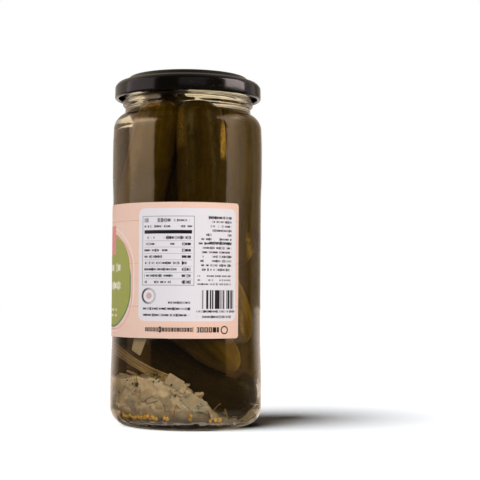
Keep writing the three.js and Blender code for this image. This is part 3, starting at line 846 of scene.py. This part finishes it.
def make_gherkin(name, radius, points, seed):
    places = smooth_path(points, GHERKIN_RINGS)
    frames = path_frames(places)
    length = sum((b - a).length for a, b in zip(places, places[1:]))
    chance = random.Random(seed)
    turn = chance.uniform(0, 2 * math.pi)
    taper = chance.uniform(-0.06, 0.06)
    offset = Vector((seed * 31.7, seed * 17.3, seed * 7.9))
    shape = bmesh.new()
    bmesh.ops.create_uvsphere(shape, u_segments=GHERKIN_SIDES, v_segments=GHERKIN_RINGS, radius=1)
    skin_place = shape.verts.layers.float_vector.new("skin_place")
    tip = shape.verts.layers.float.new("tip")
    for vert in shape.verts:
        t = min(1.0, max(0.0, (vert.co.z + 1) / 2))
        angle = math.atan2(vert.co.y, vert.co.x)
        at = t * GHERKIN_RINGS
        low = min(int(at), GHERKIN_RINGS - 1)
        place = places[low].lerp(places[low + 1], at - low)
        side = frames[low][0].lerp(frames[low + 1][0], at - low)
        up = frames[low][1].lerp(frames[low + 1][1], at - low)
        swell = math.sqrt(max(0.0, 1 - abs(2 * t - 1) ** 4))
        girth = radius * swell * (1 + taper * (2 * t - 1))
        out = side * math.cos(angle) + up * math.sin(angle)
        lump = noise.noise((place + out * radius + offset) * 0.075)
        knob = noise.noise((place + out * radius + offset) * 0.22)
        facet = math.cos(3 * angle + turn)
        girth *= 1 + 0.045 * lump + 0.016 * knob + 0.012 * facet
        spot = place + out * girth
        keep_within(spot, wall_limit(spot.z) - 0.05)
        vert[skin_place] = (math.cos(angle) * radius, math.sin(angle) * radius, t * length + seed * 40)
        vert[tip] = max(0.0, (t - 0.86) / 0.14) ** 1.5
        vert.co = spot * MM
    bmesh.ops.recalc_face_normals(shape, faces=shape.faces)
    return as_piece("gherkin_" + name, shape, [skin_material(name)], "gherkin_skin", "gherkins")


# Onion, dill and mustard seed

BED_TOP = [(-36, 23.5), (-22, 25.5), (-9, 25), (-3.5, 23), (2.5, 19), (9.5, 12.5), (12.5, 6),
           (15, 5.2), (36, 5.2)]


def bed_height(x, y):
    """The heap's top in mm, highest at the left and lowest where the dark gherkin lies."""
    back = min(1.0, max(0.0, (y + 5) / 35))
    for (left, low), (right, high) in zip(BED_TOP, BED_TOP[1:]):
        if left <= x <= right:
            height = low + (high - low) * (x - left) / (right - left)
    return height * (1 - 0.35 * back) + 3 * back + 1.2 * noise.noise(Vector((x, y, 0)) * 0.2)


def onion_material(name, base, light, dark):
    shader = shader_for(name)
    place = shader.place()
    piece = shader.attribute("piece_tone")
    along = shader.attribute("piece_place", "Vector")
    veins = shader.grain(shader.spread(along, (3.2, 0.5, 0.5)), 1.0, 2)
    cloud = shader.grain(place, 260, 4, 0.6)
    sway = shader.add("ShaderNodeTexNoise", {}, {"Vector": place, "Scale": 230.0, "Detail": 2.0}, "Color")
    shift = shader.spread(sway, (0.006, 0.006, 0.006))
    bent = shader.add("ShaderNodeVectorMath", {"operation": "ADD"}, (place, shift))
    flake = shader.spots(bent, 130, output="Color")
    # The flake cells' edges darken the colour below: painted shade in the gaps between the bits
    seam = shader.spots(bent, 130, "DISTANCE_TO_EDGE")
    colour = shader.layer(
        base, (flake.rise(0.15, 0.85) * 0.8, light), (piece.rise(0.5, 1.0) * 0.35, light),
        (cloud.rise(0.5, 0.8) * 0.45, dark), (seam.rise(0.09, 0.0) * 0.22, dark),
        (veins.rise(0.5, 0.7) * 0.55, light))
    return shader.finish(shader.surface(colour, 0.32 + 0.2 * cloud, {
        "Specular IOR Level": 0.4, "Subsurface Weight": 0.7, "Subsurface Radius": (1.0, 0.8, 0.5),
        "Subsurface Scale": 0.003,
        "Normal": shader.bump(veins * 0.7 + cloud * 0.5 + flake * 0.3, 0.0004, 0.5)}))


def make_bed_core():
    shape = bmesh.new()
    bmesh.ops.create_cone(
        shape, cap_ends=True, cap_tris=True, segments=120, radius1=1, radius2=1, depth=1)
    bmesh.ops.subdivide_edges(shape, edges=shape.edges[:], cuts=14, use_grid_fill=True)
    bmesh.ops.triangulate(shape, faces=shape.faces[:])
    piece_tone = shape.verts.layers.float.new("piece_tone")
    for vert in shape.verts:
        reach = 34.0 + 0.9 * noise.noise(Vector(vert.co) * 11)
        x, y = vert.co.x * reach, vert.co.y * reach
        low = FLOOR_Z + 0.3
        inset = math.hypot(vert.co.x, vert.co.y)
        top = bed_height(x, y) - 0.6
        floor = min(low + max(0.0, inset - 0.8) ** 2 * 130, max(low, top - 0.5))
        z = floor + (vert.co.z + 0.5) * max(0.4, top - floor)
        limit = CORE_RADIUS
        if z <= CORE_HEEL_Z:
            inside = math.sqrt(max(0.0, CORE_HEEL_RADIUS ** 2 - (CORE_HEEL_Z - z) ** 2))
            limit = CORE_RADIUS - CORE_HEEL_RADIUS + inside
        shrink = min(1.0, limit / max(0.01, math.hypot(x, y)))
        vert[piece_tone] = 0.1
        vert.co = Vector((x * shrink, y * shrink, z)) * MM
    bmesh.ops.recalc_face_normals(shape, faces=shape.faces)
    material = onion_material("onion_mash", tone(218, 190, 157), tone(240, 215, 186), tone(174, 147, 114))
    as_piece("onion_heap", shape, [material], "onion_flesh", "onion_bed")


def wall_limit(z):
    """The radius in mm that a small piece may reach inside the glass at a height."""
    if z > FLOOR_Z + INNER_HEEL_RADIUS:
        return INNER_RADIUS - 0.3
    drop = FLOOR_Z + INNER_HEEL_RADIUS - z
    inside = math.sqrt(max(0.0, (INNER_HEEL_RADIUS - 0.3) ** 2 - drop ** 2))
    return INNER_RADIUS - INNER_HEEL_RADIUS + inside


def make_onion_dice():
    """Soft bits of onion leaf: bent and rounded, most of them flat against the glass."""
    chance = random.Random(5)
    noise.seed_set(1)
    shape = bmesh.new()
    piece_tone = shape.verts.layers.float.new("piece_tone")
    piece_place = shape.verts.layers.float_vector.new("piece_place")
    placed = [(-0.7, 40.3, (6.0, 1.0, 7.4), 0.2), (-0.16, 23.5, (8.0, 1.0, 5.0), 0.5),
              (-0.78, 13.6, (7, 1, 5), 0.1), (0.1, 14.0, (9, 1, 6.5), 0.8),
              (1.3, 22.0, (2.6, 1, 2.6), 0.6), (-1.1, 20.0, (7, 1, 6), 0.4)]
    for i in range(ONION_BITS):
        against_wall = i < BITS_AT_WALL
        azimuth = chance.uniform(-math.pi, math.pi)
        reach = 34.5 - 0.9 * chance.random() if against_wall else 30 * math.sqrt(chance.random())
        edge = at_azimuth(azimuth, reach, 0)
        top = bed_height(edge.x, edge.y)
        if against_wall:
            z = chance.uniform(FLOOR_Z + 4.2, max(9, top - 1))
        else:
            z = top + chance.uniform(-1.2, 0)
        size = chance.choice((0.35, 0.5, 0.7, 0.9, 1.2))
        sizes = (chance.uniform(4.0, 7.4) * size, chance.uniform(0.9, 1.6), chance.uniform(2.6, 5.0) * size)
        lean = chance.uniform(-0.3, 0.3) if against_wall else chance.uniform(0.9, 1.6)
        spin = chance.uniform(0, math.pi)
        swing = chance.uniform(-0.25, 0.25)
        if i < len(placed):
            azimuth, z, sizes, spin = placed[i]
            edge = at_azimuth(azimuth, 34.4, 0)
            lean, swing = 0.05, 0.0
        elif edge.y < 6 and edge.x > 9 or edge.y < 0 and reach > 24 and z > 20 and edge.x < -4:
            continue
        verts = bmesh.ops.create_cube(shape, size=1)["verts"]
        bmesh.ops.scale(shape, vec=sizes, verts=verts)
        rims = list(dict.fromkeys(rim for vert in verts for rim in vert.link_edges))
        bevelled = bmesh.ops.bevel(
            shape, geom=verts + rims, offset=min(sizes) * 0.45, offset_type="OFFSET",
            segments=2, profile=0.5, affect="EDGES", material=-1)
        verts = list(dict.fromkeys(vert for face in bevelled["faces"] for vert in face.verts))
        shade = chance.random()
        bend = chance.uniform(0.0, 0.06)
        skew = 0.1 if i < len(placed) else chance.uniform(-0.5, 0.5)
        for vert in verts:
            vert[piece_tone] = shade
            vert[piece_place] = vert.co.copy()
            ragged = noise.noise_vector(vert.co * 0.3 + Vector((i * 9.1, 0, 0)))
            vert.co += Vector((1.5, 0.2, 1.5)) * size * ragged
            vert.co.x += skew * vert.co.z
            vert.co.y += bend * vert.co.x ** 2 - 0.3
        matrix = (Matrix.Translation(Vector((edge.x, edge.y, z)))
                  @ Matrix.Rotation(azimuth + swing, 4, "Z")
                  @ Matrix.Rotation(lean, 4, "X") @ Matrix.Rotation(spin, 4, "Y"))
        bmesh.ops.transform(shape, matrix=matrix, verts=verts)
        for vert in verts:
            vert.co.z = max(vert.co.z, FLOOR_Z + 0.3)
            keep_within(vert.co, wall_limit(vert.co.z) - 0.05 * chance.random())
    bmesh.ops.scale(shape, vec=(MM, MM, MM), verts=shape.verts)
    bmesh.ops.recalc_face_normals(shape, faces=shape.faces)
    material = onion_material(
        "onion_flesh_pickled", tone(194, 168, 137), tone(214, 190, 162), tone(162, 136, 105))
    as_piece("onion_dice", shape, [material], "onion_flesh", "onion_bed")


def herb_material(name, base, light, dark):
    shader = shader_for(name)
    place = shader.place()
    fibres = shader.grain(place, 700, 4, 0.6)
    patch = shader.grain(place, 160, 3)
    colour = shader.layer(base, (fibres.rise(0.45, 0.7) * 0.8, light), (patch.rise(0.5, 0.75) * 0.6, dark))
    relief = shader.bump(fibres, 0.0002, 0.6)
    return shader.finish(shader.surface(colour, 0.4 + 0.2 * patch, {"Normal": relief}))


def make_dill():
    chance = random.Random(12)
    curves = []
    bundle = [(-1.3, 34.5, 39.5), (-1.0, 34.5, 36.4), (-0.72, 34.5, 32.4), (-0.45, 34.4, 28.4),
              (-0.2, 34.0, 25.4)]
    for i in range(14):
        lift = 1.4 - 0.42 * i + chance.uniform(-0.3, 0.3)
        inward = chance.uniform(0, 0.7)
        points = []
        for j, (azimuth, radius, z) in enumerate(bundle):
            sideways = chance.uniform(-0.02, 0.02)
            points.append(at_azimuth(azimuth + sideways, radius - inward, z + lift * (1 - 0.35 * j / 4)))
        curves.append((points, chance.uniform(0.12, 0.3)))
    for i in range(16):
        azimuth = chance.uniform(-2.6, 1.0)
        edge = at_azimuth(azimuth, 34.1, 0)
        z = chance.uniform(FLOOR_Z + 3, bed_height(edge.x, edge.y))
        run = chance.uniform(-0.22, 0.22)
        points = [at_azimuth(azimuth + run * j / 3, 34.3, z + j * chance.uniform(-1.4, 1.8))
                  for j in range(4)]
        curves.append((points, chance.uniform(0.1, 0.22)))
    stalks = bpy.data.curves.new("dill_lines", "CURVE")
    stalks.dimensions = "3D"
    stalks.bevel_depth = MM
    stalks.bevel_resolution = 2
    stalks.use_fill_caps = True
    for points, radius in curves:
        places = smooth_path(points, 20)
        spline = stalks.splines.new("POLY")
        spline.points.add(len(places) - 1)
        for point, place in zip(spline.points, places):
            point.co = (*(place * MM), 1)
            point.radius = radius
    holder = bpy.data.objects.new("dill_lines", stalks)
    data = bpy.data.meshes.new_from_object(holder)
    shape = bmesh.new()
    shape.from_mesh(data)
    bpy.data.objects.remove(holder)
    bpy.data.curves.remove(stalks)
    bpy.data.meshes.remove(data)
    bmesh.ops.remove_doubles(shape, verts=shape.verts, dist=1e-7)
    bmesh.ops.recalc_face_normals(shape, faces=shape.faces)
    material = herb_material("dill_stalk", tone(156, 126, 84), tone(200, 166, 114), tone(110, 84, 50))
    as_piece("dill_stalks", shape, [material], "onion_flesh", "onion_bed")


def add_bead(shape, place, sizes, turn=0.0, subdivisions=2):
    made = bmesh.ops.create_icosphere(shape, subdivisions=subdivisions, radius=1)
    matrix = Matrix.Translation(place) @ Matrix.Rotation(turn, 4, "Y") @ Matrix.Diagonal((*sizes, 1))
    bmesh.ops.transform(shape, matrix=matrix, verts=made["verts"])


def make_seeds():
    chance = random.Random(9)
    shape = bmesh.new()
    front = [
        (-1.04, 8.2), (-0.98, 7.8), (-0.93, 7.9), (-0.88, 8.3), (-0.84, 7.7), (-0.79, 7.6), (-0.73, 8.1),
        (-0.68, 7.6), (-0.62, 7.9), (-0.57, 8.3), (-0.53, 7.5), (-0.49, 7.9), (-0.44, 7.6), (-0.31, 7.8),
        (-0.27, 7.5), (0.07, 8.9), (0.06, 7.6), (0.37, 7.0), (0.45, 7.1), (0.53, 7.0)]
    for azimuth, z in front:
        place = at_azimuth(azimuth, wall_limit(z - 1.3) - 0.7, z - 1.3)
        add_bead(shape, place, [0.85 + 0.1 * chance.random()] * 3)
    for i in range(46):
        azimuth = chance.uniform(1.6, 2 * math.pi - 1.1)
        z = 6.4 + 3.4 * chance.random() ** 2
        add_bead(shape, at_azimuth(azimuth, wall_limit(z) - 0.8, z), [0.8 + 0.15 * chance.random()] * 3)
    bmesh.ops.scale(shape, vec=(MM, MM, MM), verts=shape.verts)
    shader = shader_for("mustard_seed_coat")
    place = shader.place()
    patch = shader.grain(place, 420, 3)
    colour = shader.layer(tone(238, 178, 72), (patch.rise(0.4, 0.7), tone(255, 212, 110)))
    relief = shader.bump(shader.grain(place, 2600, 2), 0.00004, 0.5)
    coat = shader.finish(shader.surface(colour, 0.35 + 0.15 * patch, {"Normal": relief}))
    as_piece("mustard_seeds", shape, [coat], "onion_flesh", "onion_bed")


def make_specks():
    """Dark bits of herb and spice that lie against the glass."""
    chance = random.Random(21)
    shape = bmesh.new()
    clumps = [(-0.40, 25.2, 1.9, 12), (-0.74, 21.0, 1.6, 10), (-0.12, 17.0, 0.9, 3), (-0.9, 24.0, 0.8, 3),
              (-0.2, 22.0, 0.8, 3), (0.1, 19.0, 0.7, 3)]
    for i in range(20):
        clumps.append((chance.uniform(0.9, 5.2), chance.uniform(9, 20), 0.9, 3))
    for azimuth, z, spread, count in clumps:
        for i in range(count):
            height = z + chance.uniform(-spread, spread)
            turn = azimuth + chance.uniform(-spread, spread) / 34
            place = at_azimuth(turn, wall_limit(height) - 0.05, height)
            sizes = (chance.uniform(0.25, 0.75), 0.28, chance.uniform(0.2, 0.5))
            add_bead(shape, place, sizes, chance.uniform(0, 3), 1)
    bmesh.ops.scale(shape, vec=(MM, MM, MM), verts=shape.verts)
    material = herb_material("dark_herb", tone(62, 48, 30), tone(92, 74, 44), tone(38, 28, 14))
    as_piece("herb_specks", shape, [material], "onion_flesh", "onion_bed")


# Studio

def make_floor():
    shape = bmesh.new()
    bmesh.ops.create_grid(shape, x_segments=2, y_segments=2, size=4)
    shader = shader_for("white_table")
    x, y, _ = shader.split(shader.place())
    # For all but camera rays the floor is a painted glow that lights the jar and shows in its glass: bright
    # near it and far behind, dim far aside, dark in front, middling under the front of its foot. Camera
    # rays see a pale diffuse floor.
    azimuth = x.math("ARCTAN2", x, 0 - y)
    front = azimuth.rise(-1.55, -1.35) * azimuth.rise(1.75, 1.6)
    away = (x * x + y * y) ** 0.5
    behind = shader.blend(azimuth.size().rise(2.1, 2.5), (0.1, 0.09, 0.08, 1), (1.0, 0.88, 0.78, 1))
    aside = shader.blend(away.rise(0.12, 0.06), behind, (1.3, 1.1, 0.92, 1))
    under = away.rise(0.041, 0.037)
    colour = shader.layer(aside, (front, (0.06, 0.052, 0.045, 1)), (front * under, (0.22, 0.19, 0.17, 1)))
    glow = shader.add("ShaderNodeEmission", {}, {"Color": colour, "Strength": 1.0})
    seen = shader.add("ShaderNodeBsdfDiffuse", {}, {"Color": (0.225, 0.229, 0.234, 1)})
    camera_ray = shader.add("ShaderNodeLightPath", output="Is Camera Ray")
    white = shader.finish(shader.add("ShaderNodeMixShader", {}, (camera_ray, glow, seen)))
    floor = as_object("studio_floor", shape, [white])
    return floor


def make_world():
    world = bpy.data.worlds.new("white_studio")
    bpy.context.scene.world = world
    shader = Shader(world)
    direction = shader.add("ShaderNodeTexCoord", output="Generated")
    x, y, _ = shader.split(direction)
    side = shader.blend(x.rise(0.3, 0.6), (0.58, 0.49, 0.4, 1), (0.2, 0.17, 0.14, 1))
    colour = shader.blend(y.rise(-0.25, 0.45), (0.018, 0.017, 0.016, 1), side)
    camera_ray = shader.add("ShaderNodeLightPath", output="Is Camera Ray")
    colour = shader.blend(camera_ray, colour, (1, 1, 1, 1))
    shader.finish(shader.add("ShaderNodeBackground", {}, {"Color": colour, "Strength": 1.0}))


def panel_light(name, centre, target, width, height, radiance, colour=(1, 1, 1)):
    """A flat rectangular light whose own brightness is the radiance."""
    light = bpy.data.lights.new(name, "AREA")
    light.shape = "RECTANGLE"
    light.size = width
    light.size_y = height
    light.energy = radiance * math.pi * width * height
    light.color = colour
    lamp = bpy.data.objects.new(name, light)
    lamp.location = centre
    lamp.rotation_euler = (Vector(target) - Vector(centre)).to_track_quat("-Z", "Y").to_euler()
    lamp.visible_camera = False
    bpy.context.scene.collection.objects.link(lamp)
    return lamp


def upright(start, end, distance, bottom, top):
    """The middle and the width of an upright sheet between two azimuths in degrees."""
    first = at_azimuth(math.radians(start), distance, 0)
    last = at_azimuth(math.radians(end), distance, 0)
    middle = (first + last) / 2
    middle.z = (bottom + top) / 2
    return middle, (last - first).length


def upright_panel(name, start, end, distance, bottom, top, radiance, colour):
    middle, width = upright(start, end, distance, bottom, top)
    return panel_light(name, middle, (0, 0, middle.z), width, top - bottom, radiance, colour)


def glowing_sheet(name, start, end, distance, bottom, top, low, high, colour, fade=None):
    """An upright lit sheet, brighter towards its top, that may fade over two azimuths in degrees."""
    middle, width = upright(start, end, distance, bottom, top)
    shape = bmesh.new()
    bmesh.ops.create_grid(shape, x_segments=1, y_segments=1, size=0.5)
    facing = Vector((-middle.x, -middle.y, 0)).to_track_quat("-Z", "Y").to_matrix().to_4x4()
    sizes = Matrix.Diagonal((width, top - bottom, 1, 1))
    bmesh.ops.transform(shape, matrix=Matrix.Translation(middle) @ facing @ sizes, verts=shape.verts)
    shader = shader_for(name)
    x, y, z = shader.split(shader.place())
    level = (z.rise(0.0, 0.5) ** 1.5 * (high - low) + low) * z.rise(top, top - 0.22)
    if fade:
        azimuth = x.math("ARCTAN2", x, 0 - y)
        level = level * azimuth.rise(math.radians(fade[1]), math.radians(fade[0]))
    lit = shader.blend(level / high, (0, 0, 0, 1), colour)
    glow = shader.add("ShaderNodeEmission", {}, {"Color": lit, "Strength": high})
    sheet = as_object(name, shape, [shader.finish(glow)])
    sheet.visible_camera = False
    sheet.visible_shadow = False
    return sheet


def lit_by(lamp, things, state="INCLUDE"):
    """Say which things a lamp lights: only these, or all but these."""
    group = bpy.data.collections.new(lamp.name + "_lights")
    for i, thing in enumerate(things):
        group.objects.link(thing)
        group.collection_objects[i].light_linking.link_state = state
    lamp.light_linking.receiver_collection = group


def make_lights(floor, cap, label, gherkins):
    warm = (1, 0.88, 0.72, 1)
    left = glowing_sheet("left_softbox", -53, -100, 0.9, -0.02, 0.86, 0.5, 3.3, warm)
    right = glowing_sheet("right_softbox", 62, 115, 0.9, -0.02, 0.8, 1.1, 2.5, warm, (60, 112))
    above_right = at_azimuth(math.radians(90), 0.62, 0.72)
    neck = panel_light("right_neck_panel", above_right, (0, 0, 0.15), 0.8, 0.28, 1.5, warm[:3])
    lit_by(neck, [floor, cap, label, *gherkins], "EXCLUDE")
    lit_by(left, [floor, cap, label], "EXCLUDE")
    lit_by(right, [floor, cap, label], "EXCLUDE")
    # name, two azimuths in degrees, distance, bottom and top in m, radiance, colour, and what it lights
    for *panel, things in (
            ("left_cap_panel", -53, -110, 0.9, 0.0, 0.86, 0.9, (1, 0.82, 0.84), [cap]),
            ("right_cap_panel", 60, 98, 0.7, 0.262, 0.8, 5.4, (1, 0.84, 0.8), [cap]),
            ("right_cap_glow", 101, 128, 0.7, 0.0, 0.9, 0.42, (1, 0.84, 0.86), [cap]),
            ("front_cap_glow", -14, 28, 0.9, 0.29, 0.7, 0.22, (1, 1, 1), [cap]),
            ("left_key", -75, -35, 0.7, 0.2, 0.8, 3.0, (1, 0.92, 0.75), gherkins),
            ("right_key", 60, 100, 0.7, 0.15, 0.7, 6.0, (1, 0.9, 0.7), gherkins),
            ("label_left_panel", -125, -45, 1.0, 0.0, 0.9, 1.85, (1, 1, 1), [label]),
            ("label_right_panel", 45, 115, 1.0, 0.0, 0.9, 1.25, (1, 0.86, 0.72), [label])):
        lit_by(upright_panel(*panel), things)
    bpy.data.objects["right_cap_panel"].rotation_euler.rotate_axis("Z", math.radians(-2))
    for name, radiance, lit, state in (
            ("front_fill", 4.45, [floor, *gherkins], "EXCLUDE"),
            ("gherkin_fill", 2.4, gherkins, "INCLUDE")):
        fill = panel_light(name, (0.5, -1.5, 0.65), (0, 0, 0.06), 1.8, 1.2, radiance)
        fill.visible_glossy = False
        fill.visible_transmission = False
        lit_by(fill, lit, state)
    sun = bpy.data.lights.new("table_light", "SUN")
    sun.energy = 15.4
    sun.angle = math.radians(27)
    key = bpy.data.objects.new("table_light", sun)
    height = math.radians(66)
    towards = at_azimuth(math.radians(-58), math.cos(height), math.sin(height))
    key.rotation_euler = (-towards).to_track_quat("-Z", "Y").to_euler()
    bpy.context.scene.collection.objects.link(key)
    lit_by(key, [floor])


def make_camera():
    lens = bpy.data.cameras.new("photo_camera")
    lens.sensor_width = 36
    lens.lens = 93.75
    lens.clip_start = 0.05
    lens.clip_end = 50
    camera = bpy.data.objects.new("photo_camera", lens)
    pan, tilt, roll = math.radians(2.43), math.radians(2.43), math.radians(0.34)
    aim = (Matrix.Rotation(-pan, 4, "Z") @ Matrix.Rotation(math.pi / 2 + tilt, 4, "X")
           @ Matrix.Rotation(roll, 4, "Z"))
    camera.matrix_world = Matrix.Translation((0, -0.627, 0.0655)) @ aim
    bpy.context.scene.collection.objects.link(camera)
    bpy.context.scene.camera = camera


scene = bpy.context.scene
scene.view_settings.view_transform = "Standard"
scene.cycles.caustics_refractive = False
scene.cycles.caustics_reflective = False
scene.cycles.max_bounces = 16
scene.cycles.transmission_bounces = 14
scene.cycles.transparent_max_bounces = 16

make_jar()
make_brine()
black_cap = make_lid()
paper = make_label()
pickles = [make_gherkin(gherkin, girth, path, number + 1)
           for number, (gherkin, (girth, path)) in enumerate(GHERKINS.items())]
make_bed_core()
make_onion_dice()
make_dill()
make_seeds()
make_specks()
table = make_floor()
make_world()
make_lights(table, black_cap, paper, pickles)
make_camera()
